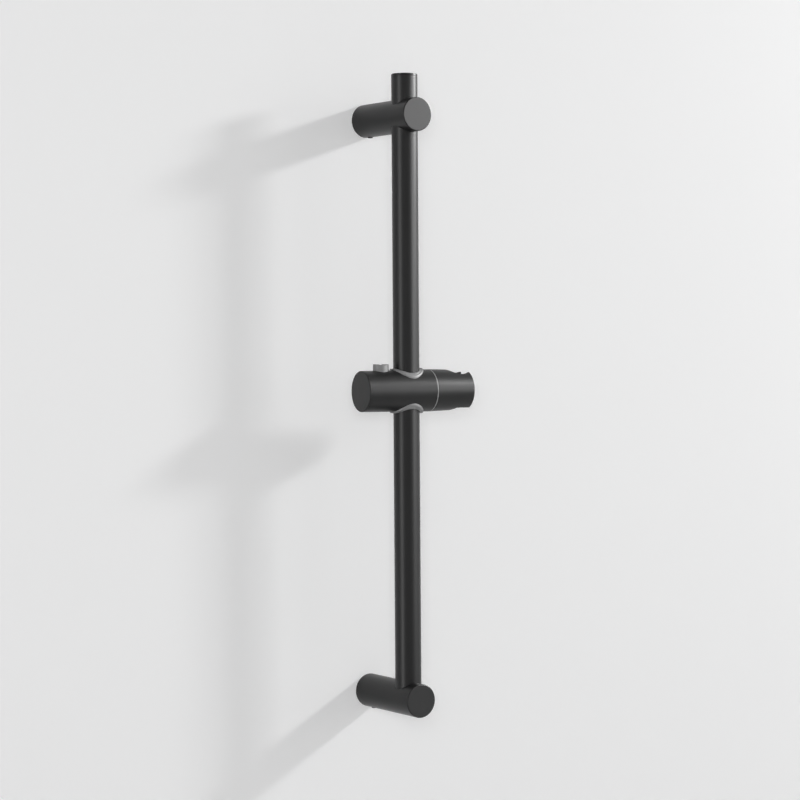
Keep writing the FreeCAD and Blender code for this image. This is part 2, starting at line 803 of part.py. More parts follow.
rail_tube()
rail_top_cap()
for place_name, post_z in (("upper", upper_z), ("lower", lower_z)):
    wall_post(place_name + "_post", post_z, place_name == "upper")
    wall_boss(place_name + "_wall_boss", post_z)
    boss_grub_screw(place_name + "_boss_grub_screw", post_z)
    rail_screw(place_name + "_rail_screw", post_z)
for place_name, up_or_down in (("upper", 1), ("lower", -1)):
    glide_ring(place_name + "_glide_ring", up_or_down)
    guide_bush(place_name + "_guide_bush", up_or_down)
slider_barrel()
slider_end_cap()
friction_ring()
disc_spring()
pivot_screw()
handset_holder()
release_button()
brake_shoe()
brake_pad()
brake_spring()
doc.recompute()

# Every object is sound, and every piece is one valid solid, before anything is written
for item in doc.Objects:
    if "Invalid" in item.State or "Error" in item.State:
        raise RuntimeError(f"{item.Label} failed: {item.State}")
for piece in pieces:
    shape = piece.Shape
    if shape.isNull() or not shape.isValid() or len(shape.Solids) != 1:
        raise RuntimeError(f"{piece.Label} is not one valid solid")

os.makedirs("parts", exist_ok=True)
for piece in pieces:
    piece.Shape.exportStep(f"parts/{piece.Label}.step")
    box = piece.Shape.BoundBox
    print(f"{piece.Label}: {piece.Shape.Volume / 1000:.2f} cm3, x {box.XMin:.2f} {box.XMax:.2f}, "
          f"y {box.YMin:.2f} {box.YMax:.2f}, z {box.ZMin:.2f} {box.ZMax:.2f}")
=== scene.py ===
import math
import bmesh
import bpy
from mathutils import Matrix, Vector


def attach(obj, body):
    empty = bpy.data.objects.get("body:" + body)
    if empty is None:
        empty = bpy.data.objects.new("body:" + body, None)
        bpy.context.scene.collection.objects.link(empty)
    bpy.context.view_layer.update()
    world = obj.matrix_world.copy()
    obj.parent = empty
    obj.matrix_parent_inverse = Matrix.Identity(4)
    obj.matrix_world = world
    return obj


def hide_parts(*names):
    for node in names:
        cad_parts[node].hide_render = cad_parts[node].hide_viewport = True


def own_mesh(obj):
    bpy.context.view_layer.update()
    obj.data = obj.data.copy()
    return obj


# Shower slide rail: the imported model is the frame, and each visible piece is modelled over its own node.
# Sizes are in millimetres and become metres where a mesh is drawn.
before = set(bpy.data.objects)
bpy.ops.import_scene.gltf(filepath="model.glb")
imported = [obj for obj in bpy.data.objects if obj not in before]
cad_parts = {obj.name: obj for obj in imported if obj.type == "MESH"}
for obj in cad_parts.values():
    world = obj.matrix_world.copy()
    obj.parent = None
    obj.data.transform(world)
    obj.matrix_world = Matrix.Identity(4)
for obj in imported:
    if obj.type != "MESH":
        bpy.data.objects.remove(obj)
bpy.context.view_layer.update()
mm = 0.001
tiny = 0.002 * mm
cornerSegments = 4
noiseLow = 0.3
noiseHigh = 0.7
axes = {"X": Vector((1, 0, 0)), "Y": Vector((0, 1, 0)), "Z": Vector((0, 0, 1))}
layout = {
    "railY": -68.0,
    "upperPostZ": 277.5,
    "lowerPostZ": -277.5,
    "sliderZ": 16.5,
    "sliderSwing": -5.0,
}
print("frame: loaded", len(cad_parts), "nodes")


# selecting and drawing
def pickOnly(piece):
    bpy.ops.object.select_all(action="DESELECT")
    piece.select_set(True)
    bpy.context.view_layer.objects.active = piece


def pickVertices(piece, wanted):
    bpy.ops.mesh.select_mode(type="VERT")
    bpy.ops.mesh.select_all(action="DESELECT")
    drawing = bmesh.from_edit_mesh(piece.data)
    for vertex in drawing.verts:
        vertex.select_set(wanted(vertex.co))
    bmesh.update_edit_mesh(piece.data)


# operators leave points and faces in an order that changes from run to run, and bevels go by that order
def settleOrder(piece):
    drawing = piece.data
    spots = [tuple(vertex.co) for vertex in drawing.vertices]
    order = sorted(range(len(spots)), key=lambda index: spots[index])
    rank = {index: place for place, index in enumerate(order)}
    rings = []
    for face in drawing.polygons:
        ring = [rank[index] for index in face.vertices]
        first = ring.index(min(ring))
        rings.append(ring[first:] + ring[:first])
    drawing.clear_geometry()
    drawing.from_pydata([spots[index] for index in order], [], sorted(rings))


def tidyMesh(piece):
    settleOrder(piece)
    pickOnly(piece)
    bpy.ops.object.mode_set(mode="EDIT")
    bpy.ops.mesh.select_all(action="SELECT")
    bpy.ops.mesh.remove_doubles(threshold=tiny)
    bpy.ops.mesh.normals_make_consistent(inside=False)
    bpy.ops.object.mode_set(mode="OBJECT")
    settleOrder(piece)


# a chain of points, all selected in edit mode
def drawPath(name, points):
    bpy.ops.object.select_all(action="DESELECT")
    bpy.ops.mesh.primitive_plane_add(size=mm)
    piece = bpy.context.object
    piece.name = name
    bpy.ops.object.mode_set(mode="EDIT")
    bpy.ops.mesh.merge(type="CENTER")
    bpy.ops.transform.translate(value=points[0])
    for here, there in zip(points, points[1:]):
        bpy.ops.mesh.extrude_region_move(TRANSFORM_OT_translate={"value": there - here})
    bpy.ops.mesh.select_all(action="SELECT")
    return piece


# profile rows are (along the axis, radius, corner rounding), and a closed profile ends where it starts
def turnPiece(name, profile, axis, steps=128, closed=False):
    along = axes[axis]
    outward = axes["X"] if axis == "Z" else axes["Z"]
    points = [(along * row[0] + outward * row[1]) * mm for row in profile]
    piece = drawPath(name, points + points[:1] if closed else points)
    bpy.ops.mesh.remove_doubles(threshold=tiny)
    for point, row in zip(points, profile):
        if len(row) > 2:
            pickVertices(piece, lambda spot: (spot - point).length < tiny)
            bpy.ops.mesh.bevel(offset=row[2] * mm, segments=cornerSegments, affect="VERTICES")
    bpy.ops.mesh.select_all(action="SELECT")
    bpy.ops.mesh.spin(steps=steps, angle=2 * math.pi, center=(0, 0, 0), axis=along)
    bpy.ops.object.mode_set(mode="OBJECT")
    tidyMesh(piece)
    return piece


# a straight bar whose end is the outline, drawn in X and Z and pushed through in Y
def pushOutline(name, outline, depth):
    piece = drawPath(name, [Vector((x, -depth / 2, z)) * mm for x, z in outline])
    bpy.ops.mesh.edge_face_add()
    bpy.ops.mesh.extrude_region_move(TRANSFORM_OT_translate={"value": axes["Y"] * depth * mm})
    bpy.ops.object.mode_set(mode="OBJECT")
    tidyMesh(piece)
    return piece


def roundBar(name, radius, length, middle, axis="Z", sides=128):
    turns = {"X": (0, math.pi / 2, 0), "Y": (math.pi / 2, 0, 0), "Z": (0, 0, 0)}
    bpy.ops.object.select_all(action="DESELECT")
    bpy.ops.mesh.primitive_cylinder_add(
        vertices=sides,
        radius=radius * mm,
        depth=length * mm,
        location=Vector(middle) * mm,
        rotation=turns[axis],
    )
    bar = bpy.context.object
    bar.name = name
    return bar


# finishing
def cutWith(piece, tool, operation="DIFFERENCE"):
    cut = piece.modifiers.new("cut", "BOOLEAN")
    cut.operation = operation
    cut.solver = "EXACT"
    cut.object = tool
    pickOnly(piece)
    bpy.ops.object.modifier_apply(modifier=cut.name)
    bpy.data.objects.remove(tool, do_unlink=True)


def softenEdges(piece, width, segments=3, sharperThan=38):
    settleOrder(piece)
    soften = piece.modifiers.new("soften", "BEVEL")
    soften.width = width * mm
    soften.segments = segments
    soften.limit_method = "ANGLE"
    soften.angle_limit = math.radians(sharperThan)
    soften.miter_outer = "MITER_ARC"
    pickOnly(piece)
    bpy.ops.object.modifier_apply(modifier=soften.name)


def placePiece(piece, x=0, y=0, z=0, turnX=0, turnZ=0):
    piece.location = Vector((x, y, z)) * mm
    piece.rotation_euler = (math.radians(turnX), 0, math.radians(turnZ))
    pickOnly(piece)
    bpy.ops.object.transform_apply(location=True, rotation=True, scale=True)


def placeOnSlider(piece, turnX=0):
    if turnX:
        placePiece(piece, turnX=turnX)
    placePiece(piece, y=layout["railY"], z=layout["sliderZ"], turnZ=layout["sliderSwing"])


def copyPiece(piece, name):
    twin = piece.copy()
    twin.data = piece.data.copy()
    twin.name = name
    bpy.context.scene.collection.objects.link(twin)
    return twin


def finishPiece(piece, body, node, finish, smoothBelow=32):
    tidyMesh(piece)
    bpy.ops.object.shade_smooth_by_angle(angle=math.radians(smoothBelow))
    weigh = piece.modifiers.new("weigh", "WEIGHTED_NORMAL")
    weigh.keep_sharp = True
    bpy.ops.object.modifier_apply(modifier=weigh.name)
    piece.data.materials.clear()
    piece.data.materials.append(finish)
    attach(piece, body)
    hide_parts(node)
    print("piece:", piece.name, len(piece.data.polygons), "faces")


# shared surface effects
def addNode(tree, kind, values=None):
    node = tree.nodes.new(kind)
    for name, value in (values or {}).items():
        node.inputs[name].default_value = value
    return node


def newGroup(name, inputs, outputs):
    group = bpy.data.node_groups.new(name, "ShaderNodeTree")
    for label, kind in inputs:
        group.interface.new_socket(label, in_out="INPUT", socket_type=kind)
    for label, kind in outputs:
        group.interface.new_socket(label, in_out="OUTPUT", socket_type=kind)
    entry = group.nodes.new("NodeGroupInput")
    leave = group.nodes.new("NodeGroupOutput")
    return group, entry, leave


# grain is the fine skin of a coat or a moulding, drift is the slow change over the whole piece
def buildSurfaceGrain():
    group, entry, leave = newGroup(
        "surfaceGrain",
        [
            ("Vector", "NodeSocketVector"),
            ("Grain Scale", "NodeSocketFloat"),
            ("Drift Scale", "NodeSocketFloat"),
        ],
        [("Grain", "NodeSocketFloat"), ("Drift", "NodeSocketFloat")],
    )
    pebble = addNode(group, "ShaderNodeTexNoise", {"Detail": 2.0, "Roughness": 0.55})
    slow = addNode(group, "ShaderNodeTexNoise", {"Detail": 3.0, "Roughness": 0.6, "Distortion": 0.4})
    group.links.new(entry.outputs["Vector"], pebble.inputs["Vector"])
    group.links.new(entry.outputs["Grain Scale"], pebble.inputs["Scale"])
    group.links.new(entry.outputs["Vector"], slow.inputs["Vector"])
    group.links.new(entry.outputs["Drift Scale"], slow.inputs["Scale"])
    group.links.new(pebble.outputs["Fac"], leave.inputs["Grain"])
    group.links.new(slow.outputs["Fac"], leave.inputs["Drift"])
    return group


# lines that a lathe tool leaves, round the local Z of the vector that comes in
def buildToolLines():
    group, entry, leave = newGroup(
        "toolLines",
        [("Vector", "NodeSocketVector"), ("Line Scale", "NodeSocketFloat")],
        [("Lines", "NodeSocketFloat")],
    )
    split = addNode(group, "ShaderNodeSeparateXYZ")
    flat = addNode(group, "ShaderNodeCombineXYZ")
    radius = addNode(group, "ShaderNodeVectorMath")
    radius.operation = "LENGTH"
    join = addNode(group, "ShaderNodeCombineXYZ")
    lines = addNode(group, "ShaderNodeTexNoise", {"Detail": 4.0, "Roughness": 0.7})
    lines.noise_dimensions = "2D"
    group.links.new(entry.outputs["Vector"], split.inputs["Vector"])
    group.links.new(split.outputs["X"], flat.inputs["X"])
    group.links.new(split.outputs["Y"], flat.inputs["Y"])
    group.links.new(flat.outputs["Vector"], radius.inputs[0])
    group.links.new(radius.outputs["Value"], join.inputs["X"])
    group.links.new(split.outputs["Z"], join.inputs["Y"])
    group.links.new(join.outputs["Vector"], lines.inputs["Vector"])
    group.links.new(entry.outputs["Line Scale"], lines.inputs["Scale"])
    group.links.new(lines.outputs["Fac"], leave.inputs["Lines"])
    return group


surfaceGrain = buildSurfaceGrain()
toolLines = buildToolLines()


def newFinish(name):
    finish = bpy.data.materials.new(name)
    finish.use_nodes = True
    tree = finish.node_tree
    return finish, tree, tree.nodes["Principled BSDF"]


def spread(tree, source, low, high, start=noiseLow, end=noiseHigh):
    ranged = addNode(tree, "ShaderNodeMapRange", {
        "From Min": start,
        "From Max": end,
        "To Min": low,
        "To Max": high,
    })
    tree.links.new(source, ranged.inputs["Value"])
    return ranged.outputs["Result"]


def blendColours(tree, source, dark, light):
    ramp = addNode(tree, "ShaderNodeValToRGB")
    ramp.color_ramp.elements[0].position = noiseLow
    ramp.color_ramp.elements[0].color = (*dark, 1)
    ramp.color_ramp.elements[1].position = noiseHigh
    ramp.color_ramp.elements[1].color = (*light, 1)
    tree.links.new(source, ramp.inputs["Fac"])
    return ramp.outputs["Color"]


def grainFinish(name, settings):
    finish, tree, shader = newFinish(name)
    place = addNode(tree, "ShaderNodeTexCoord")
    skin = addNode(tree, "ShaderNodeGroup")
    skin.node_tree = surfaceGrain
    skin.inputs["Grain Scale"].default_value = settings["grainScale"]
    skin.inputs["Drift Scale"].default_value = settings["driftScale"]
    tree.links.new(place.outputs["Object"], skin.inputs["Vector"])
    colour = blendColours(tree, skin.outputs["Drift"], settings["dark"], settings["light"])
    tree.links.new(colour, shader.inputs["Base Color"])
    rough = spread(tree, skin.outputs["Drift"], settings["smooth"], settings["dull"])
    tree.links.new(rough, shader.inputs["Roughness"])
    bump = addNode(tree, "ShaderNodeBump", {
        "Strength": settings["bump"],
        "Distance": settings["depth"] * mm,
    })
    tree.links.new(skin.outputs["Grain"], bump.inputs["Height"])
    tree.links.new(bump.outputs["Normal"], shader.inputs["Normal"])
    shader.inputs["Specular IOR Level"].default_value = settings["gloss"]
    return finish


def turnedMetalFinish(name, settings):
    finish, tree, shader = newFinish(name)
    place = addNode(tree, "ShaderNodeTexCoord")
    turned = addNode(tree, "ShaderNodeMapping")
    turned.inputs["Rotation"].default_value = [math.radians(angle) for angle in settings["turn"]]
    lines = addNode(tree, "ShaderNodeGroup")
    lines.node_tree = toolLines
    lines.inputs["Line Scale"].default_value = settings["lineScale"]
    tree.links.new(place.outputs["Object"], turned.inputs["Vector"])
    tree.links.new(turned.outputs["Vector"], lines.inputs["Vector"])
    colour = blendColours(tree, lines.outputs["Lines"], settings["dark"], settings["light"])
    tree.links.new(colour, shader.inputs["Base Color"])
    rough = spread(tree, lines.outputs["Lines"], settings["smooth"], settings["dull"])
    tree.links.new(rough, shader.inputs["Roughness"])
    bump = addNode(tree, "ShaderNodeBump", {
        "Strength": settings["bump"],
        "Distance": settings["depth"] * mm,
    })
    tree.links.new(lines.outputs["Lines"], bump.inputs["Height"])
    tree.links.new(bump.outputs["Normal"], shader.inputs["Normal"])
    shader.inputs["Metallic"].default_value = 1.0
    return finish


# finishes: colours are linear, scales are per metre, depths are millimetres
blackCoat = grainFinish("blackCoat", {
    "dark": (0.0095, 0.0095, 0.0098),
    "light": (0.0120, 0.0120, 0.0124),
    "smooth": 0.34,
    "dull": 0.38,
    "gloss": 0.3,
    "grainScale": 1100.0,
    "driftScale": 14.0,
    "bump": 0.35,
    "depth": 0.02,
})
blackBody = grainFinish("blackBody", {
    "dark": (0.0095, 0.0095, 0.0098),
    "light": (0.0125, 0.0125, 0.0129),
    "smooth": 0.37,
    "dull": 0.41,
    "gloss": 0.3,
    "grainScale": 2200.0,
    "driftScale": 45.0,
    "bump": 0.3,
    "depth": 0.012,
})
greyPlastic = grainFinish("greyPlastic", {
    "dark": (0.28, 0.28, 0.283),
    "light": (0.335, 0.335, 0.338),
    "smooth": 0.45,
    "dull": 0.51,
    "gloss": 0.5,
    "grainScale": 2600.0,
    "driftScale": 90.0,
    "bump": 0.25,
    "depth": 0.01,
})
glidePlastic = grainFinish("glidePlastic", {
    "dark": (0.62, 0.62, 0.59),
    "light": (0.70, 0.70, 0.68),
    "smooth": 0.38,
    "dull": 0.48,
    "gloss": 0.45,
    "grainScale": 1800.0,
    "driftScale": 120.0,
    "bump": 0.2,
    "depth": 0.01,
})
brakeRubber = grainFinish("brakeRubber", {
    "dark": (0.012, 0.012, 0.012),
    "light": (0.022, 0.022, 0.021),
    "smooth": 0.72,
    "dull": 0.85,
    "gloss": 0.35,
    "grainScale": 3000.0,
    "driftScale": 150.0,
    "bump": 0.5,
    "depth": 0.03,
})
bossBrass = turnedMetalFinish("bossBrass", {
    "dark": (0.60, 0.42, 0.16),
    "light": (0.74, 0.55, 0.25),
    "smooth": 0.26,
    "dull": 0.42,
    "turn": (90, 0, 0),
    "lineScale": 3500.0,
    "bump": 0.25,
    "depth": 0.01,
})
screwSteel = turnedMetalFinish("screwSteel", {
    "dark": (0.42, 0.42, 0.43),
    "light": (0.58, 0.58, 0.59),
    "smooth": 0.28,
    "dull": 0.46,
    "turn": (0, 0, 0),
    "lineScale": 2600.0,
    "bump": 0.2,
    "depth": 0.01,
})
blackSteel = turnedMetalFinish("blackSteel", {
    "dark": (0.018, 0.018, 0.019),
    "light": (0.035, 0.035, 0.036),
    "smooth": 0.34,
    "dull": 0.5,
    "turn": (0, 0, 0),
    "lineScale": 2600.0,
    "bump": 0.2,
    "depth": 0.01,
})
print("finishes: made", len(bpy.data.materials))

# rail tube and top cap
rail = {
    "radius": 12.5,
    "inside": 11.3,
    "bottom": -285.0,
    "top": 315.0,
    "seam": 0.3,
    "capTop": 317.0,
    "capRim": 0.8,
    "plugRadius": 11.2,
    "plugEnd": 309.0,
    "plugEdge": 0.5,
}


def makeRail():
    tube = turnPiece("railTube", [
        (rail["bottom"], rail["inside"]),
        (rail["bottom"], rail["radius"]),
        (rail["top"] - rail["seam"], rail["radius"]),
        (rail["top"], rail["radius"] - rail["seam"]),
        (rail["top"], rail["inside"]),
    ], "Z", closed=True)
    placePiece(tube, y=layout["railY"])
    finishPiece(tube, "rail_assembly", "rail_tube", blackCoat)
    cap = turnPiece("railTopCap", [
        (rail["plugEnd"], 0),
        (rail["plugEnd"], rail["plugRadius"], rail["plugEdge"]),
        (rail["top"], rail["plugRadius"]),
        (rail["top"], rail["radius"] - rail["seam"]),
        (rail["top"] + rail["seam"], rail["radius"]),
        (rail["capTop"], rail["radius"], rail["capRim"]),
        (rail["capTop"], 0),
    ], "Z")
    placePiece(cap, y=layout["railY"])
    finishPiece(cap, "rail_assembly", "rail_top_cap", blackCoat)


makeRail()

# wall posts: hollow behind, with a cross bore for the rail; tools reach out by a number of radii
post = {
    "radius": 16.0,
    "front": -90.0,
    "edge": 0.6,
    "edgeRound": 0.3,
    "cavity": 12.1,
    "cavityFloor": -42.0,
    "threadRadius": 3.1,
    "boreRadius": 12.6,
    "socketDepth": 7.6,
    "grubY": -8.0,
    "grubHole": 2.6,
    "soften": 0.2,
    "toolReach": 1.5,
}


def makePost(name, node, height, isThrough):
    piece = turnPiece(name, [
        (post["front"], 0),
        (post["front"], post["radius"] - post["edge"], post["edgeRound"]),
        (post["front"] + post["edge"], post["radius"], post["edgeRound"]),
        (0, post["radius"]),
        (0, post["cavity"]),
        (post["cavityFloor"], post["cavity"]),
        (post["cavityFloor"], post["threadRadius"]),
        (layout["railY"], post["threadRadius"]),
        (layout["railY"], 0),
    ], "Y", steps=144)
    above = post["radius"] * post["toolReach"]
    below = above if isThrough else post["socketDepth"]
    boreMiddle = (0, layout["railY"], (above - below) / 2)
    bore = roundBar("bore", post["boreRadius"], above + below, boreMiddle)
    cutWith(piece, bore)
    hole = roundBar("hole", post["grubHole"], above, (0, post["grubY"], -above / 2), sides=48)
    cutWith(piece, hole)
    softenEdges(piece, post["soften"], segments=2)
    placePiece(piece, z=height)
    finishPiece(piece, "rail_assembly", node, blackCoat)


makePost("upperPost", "upper_post", layout["upperPostZ"], True)
makePost("lowerPost", "lower_post", layout["lowerPostZ"], False)

# wall bosses inside the posts, and the grub screws that draw the posts to the wall
boss = {
    "radius": 12.0,
    "length": 14.0,
    "hole": 2.75,
    "sink": 5.25,
    "groove": 1.8,
    "grooveY": -8.0,
    "edge": 0.4,
}
grub = {
    "radius": 2.5,
    "length": 6.5,
    "outerEnd": 16.8,
    "hexCorner": 1.443,
    "hexDepth": 2.4,
    "edge": 0.3,
}


def makeBosses():
    first = turnPiece("upperWallBoss", [
        (0, boss["hole"]),
        (0, boss["radius"], boss["edge"]),
        (boss["grooveY"] + boss["groove"], boss["radius"]),
        (boss["grooveY"], boss["radius"] - boss["groove"]),
        (boss["grooveY"] - boss["groove"], boss["radius"]),
        (-boss["length"], boss["radius"], boss["edge"]),
        (-boss["length"], boss["sink"]),
        (boss["sink"] - boss["hole"] - boss["length"], boss["hole"]),
    ], "Y", steps=96, closed=True)
    second = copyPiece(first, "lowerWallBoss")
    placePiece(first, z=layout["upperPostZ"])
    placePiece(second, z=layout["lowerPostZ"])
    finishPiece(first, "rail_assembly", "upper_wall_boss", bossBrass)
    finishPiece(second, "rail_assembly", "lower_wall_boss", bossBrass)


def makeGrubScrews():
    first = turnPiece("upperBossGrubScrew", [
        (0, 0),
        (0, grub["radius"], grub["edge"]),
        (grub["length"] - grub["radius"], grub["radius"]),
        (grub["length"], 0),
    ], "Z", steps=48)
    socket = roundBar("socket", grub["hexCorner"], grub["hexDepth"] * 2, (0, 0, 0), sides=6)
    cutWith(first, socket)
    second = copyPiece(first, "lowerBossGrubScrew")
    placePiece(first, y=boss["grooveY"], z=layout["upperPostZ"] - grub["outerEnd"])
    placePiece(second, y=boss["grooveY"], z=layout["lowerPostZ"] - grub["outerEnd"])
    finishPiece(first, "rail_assembly", "upper_boss_grub_screw", blackSteel)
    finishPiece(second, "rail_assembly", "lower_boss_grub_screw", blackSteel)


makeBosses()
makeGrubScrews()
print("rail: tube, posts and bosses done")

# slider barrel and its end cap, drawn about the crossing with the rail, X along the barrel
barrel = {
    "radius": 20.2,
    "closedRadius": 19.4,
    "left": -47.1,
    "right": 23.3,
    "bore": 12.0,
    "seam": 0.3,
    "spigotRadius": 9.08,
    "spigotFloor": 19.3,
    "pivotRadius": 3.08,
    "pivotFloor": 17.95,
    "headRadius": 5.8,
    "glideBore": 14.5,
    "waist": 13.2,
    "shoulder": 9.03,
    "buttonX": -27.5,
    "buttonHole": 7.53,
    "soften": 0.15,
    "toolReach": 1.3,
}
endCap = {
    "face": -49.1,
    "edge": 0.8,
    "spigotEnd": -42.9,
    "spigotOutside": 11.9,
    "spigotInside": 8.5,
    "spigotEdge": 0.3,
}


def makeBarrel():
    piece = turnPiece("sliderBarrel", [
        (barrel["left"], barrel["bore"]),
        (barrel["left"], barrel["closedRadius"], barrel["seam"]),
        (barrel["right"], barrel["radius"], barrel["seam"]),
        (barrel["right"], barrel["spigotRadius"]),
        (barrel["spigotFloor"], barrel["spigotRadius"]),
        (barrel["spigotFloor"], barrel["pivotRadius"]),
        (barrel["pivotFloor"], barrel["pivotRadius"]),
        (barrel["pivotFloor"], barrel["headRadius"]),
        (0, barrel["headRadius"]),
        (0, barrel["bore"]),
    ], "X", steps=160, closed=True)
    reach = barrel["radius"] * barrel["toolReach"]
    crossBore = turnPiece("crossBore", [
        (-reach, 0),
        (-reach, barrel["glideBore"]),
        (-barrel["shoulder"], barrel["glideBore"]),
        (-barrel["shoulder"], barrel["waist"]),
        (barrel["shoulder"], barrel["waist"]),
        (barrel["shoulder"], barrel["glideBore"]),
        (reach, barrel["glideBore"]),
        (reach, 0),
    ], "Z", steps=128)
    cutWith(piece, crossBore)
    holeMiddle = (barrel["buttonX"], 0, reach / 2)
    hole = roundBar("buttonHole", barrel["buttonHole"], reach, holeMiddle, sides=96)
    cutWith(piece, hole)
    softenEdges(piece, barrel["soften"], segments=2)
    placeOnSlider(piece)
    finishPiece(piece, "slider", "slider_barrel", blackBody)


def makeEndCap():
    piece = turnPiece("sliderEndCap", [
        (endCap["face"], 0),
        (endCap["face"], barrel["closedRadius"], endCap["edge"]),
        (barrel["left"], barrel["closedRadius"], barrel["seam"]),
        (barrel["left"], endCap["spigotOutside"]),
        (endCap["spigotEnd"], endCap["spigotOutside"], endCap["spigotEdge"]),
        (endCap["spigotEnd"], endCap["spigotInside"]),
        (barrel["left"], endCap["spigotInside"]),
        (barrel["left"], 0),
    ], "X", steps=160)
    placeOnSlider(piece)
    finishPiece(piece, "slider", "slider_end_cap", blackBody)


makeBarrel()
makeEndCap()

# guide bushes: a sleeve round the rail under a lip that follows the barrel's curve
bush = {
    "inside": 12.8,
    "lipRadius": 16.2,
    "lipHeight": 1.4,
    "lipRound": 0.6,
    "innerRound": 0.25,
    "sleeveRadius": 14.4,
    "sleeveEnd": 12.13,
    "seatGap": 0.1,
    "lineRadius": 14.5,
    "lineWidth": 0.5,
    "lineDepth": 0.35,
}


# heights above the barrel become heights over the slider's axis, along the barrel's tapering curve
def wrapOverBarrel(piece):
    taper = (barrel["radius"] - barrel["closedRadius"]) / (barrel["right"] - barrel["left"])
    middle = barrel["radius"] - taper * barrel["right"] + bush["seatGap"]
    for vertex in piece.data.vertices:
        height = vertex.co.z
        if height >= 0:
            level = middle * mm + taper * vertex.co.x + height
            vertex.co.z = math.sqrt(level ** 2 - vertex.co.y ** 2)
        else:
            vertex.co.z = bush["sleeveEnd"] * mm


def makeGuideBushes():
    lineFloor = bush["lipHeight"] - bush["lineDepth"]
    upper = turnPiece("upperGuideBush", [
        (-1, bush["inside"]),
        (0, bush["inside"]),
        (bush["lipHeight"], bush["inside"], bush["innerRound"]),
        (bush["lipHeight"], bush["lineRadius"] - bush["lineWidth"] / 2),
        (lineFloor, bush["lineRadius"] - bush["lineWidth"] / 4),
        (lineFloor, bush["lineRadius"] + bush["lineWidth"] / 4),
        (bush["lipHeight"], bush["lineRadius"] + bush["lineWidth"] / 2),
        (bush["lipHeight"], bush["lipRadius"], bush["lipRound"]),
        (0, bush["lipRadius"]),
        (0, bush["sleeveRadius"]),
        (-1, bush["sleeveRadius"]),
    ], "Z", steps=160, closed=True)
    wrapOverBarrel(upper)
    lower = copyPiece(upper, "lowerGuideBush")
    placeOnSlider(upper)
    placeOnSlider(lower, turnX=180)
    finishPiece(upper, "slider", "upper_guide_bush", greyPlastic)
    finishPiece(lower, "slider", "lower_guide_bush", greyPlastic)


makeGuideBushes()

# friction ring between barrel and holder
frictionRing = {
    "start": 23.3,
    "end": 24.35,
    "outside": 20.1,
    "inside": 9.3,
    "edge": 0.15,
}


def makeFrictionRing():
    piece = turnPiece("frictionRing", [
        (frictionRing["start"], frictionRing["inside"]),
        (frictionRing["start"], frictionRing["outside"], frictionRing["edge"]),
        (frictionRing["end"], frictionRing["outside"], frictionRing["edge"]),
        (frictionRing["end"], frictionRing["inside"]),
    ], "X", steps=160, closed=True)
    placeOnSlider(piece)
    finishPiece(piece, "slider", "friction_ring", greyPlastic)


makeFrictionRing()

# handset holder: a turned body with two flats, an upright conical seat and a slot in its open end
holder = {
    "face": 24.4,
    "end": 64.7,
    "spigotStart": 19.6,
    "spigotRadius": 9.0,
    "spigotEdge": 0.3,
    "threadRadius": 3.1,
    "threadEnd": 32.3,
    "radius": 20.2,
    "endRadius": 19.0,
    "endEdge": 0.5,
    "seam": 0.3,
    "flat": 17.05,
    "slopeStart": 45.8,
    "slopeEnd": 49.8,
    "seatX": 54.5,
    "seatMouth": 11.7,
    "seatFoot": 9.0,
    "seatEdge": 0.4,
    "slotWidth": 15.0,
    "soften": 0.25,
    "toolReach": 1.5,
    "toolDepth": 3.0,
}


def makeHolder():
    piece = turnPiece("handsetHolder", [
        (holder["spigotStart"], holder["threadRadius"]),
        (holder["spigotStart"], holder["spigotRadius"], holder["spigotEdge"]),
        (holder["face"], holder["spigotRadius"]),
        (holder["face"], holder["radius"], holder["seam"]),
        (holder["end"] - holder["endEdge"], holder["endRadius"]),
        (holder["end"], holder["endRadius"] - holder["endEdge"]),
        (holder["end"], 0),
        (holder["threadEnd"], 0),
        (holder["threadEnd"], holder["threadRadius"]),
    ], "X", steps=160, closed=True)
    reach = holder["radius"] * holder["toolReach"]
    past = holder["end"] + reach
    for side in (1, -1):
        flatTool = pushOutline("flatTool", [
            (holder["slopeStart"], holder["radius"] * side),
            (holder["slopeEnd"], holder["flat"] * side),
            (past, holder["flat"] * side),
            (past, reach * side),
            (holder["slopeStart"], reach * side),
        ], reach * holder["toolDepth"])
        cutWith(piece, flatTool)
    seatTool = turnPiece("seatTool", [
        (-reach, 0),
        (-reach, holder["seatFoot"] + holder["seatEdge"]),
        (-holder["flat"], holder["seatFoot"] + holder["seatEdge"]),
        (holder["seatEdge"] - holder["flat"], holder["seatFoot"]),
        (holder["flat"] - holder["seatEdge"], holder["seatMouth"]),
        (holder["flat"], holder["seatMouth"] + holder["seatEdge"]),
        (reach, holder["seatMouth"] + holder["seatEdge"]),
        (reach, 0),
    ], "Z", steps=144)
    placePiece(seatTool, x=holder["seatX"])
    cutWith(piece, seatTool)
    slotTool = pushOutline("slotTool", [
        (holder["seatX"], -reach),
        (past, -reach),
        (past, reach),
        (holder["seatX"], reach),
    ], holder["slotWidth"])
    cutWith(piece, slotTool)
    softenEdges(piece, holder["soften"], segments=2)
    placeOnSlider(piece)
    finishPiece(piece, "holder", "handset_holder", blackBody)


makeHolder()

# release button: a round head with a thumb groove over a flange, and a wedge tongue below
button = {
    "x": -27.5,
    "radius": 7.45,
    "top": 25.53,
    "rim": 0.4,
    "thumbRadius": 13.6,
    "thumbDepth": 1.0,
    "toolReach": 4.0,
    "flangeRadius": 8.6,
    "flangeBottom": 6.67,
    "flangeTop": 8.07,
    "tongueTip": -5.92,
    "tongueBack": 3.0,
    "tongueFront": 3.0,
    "tongueWidth": 6.0,
    "wedgeSlope": 0.3,
}


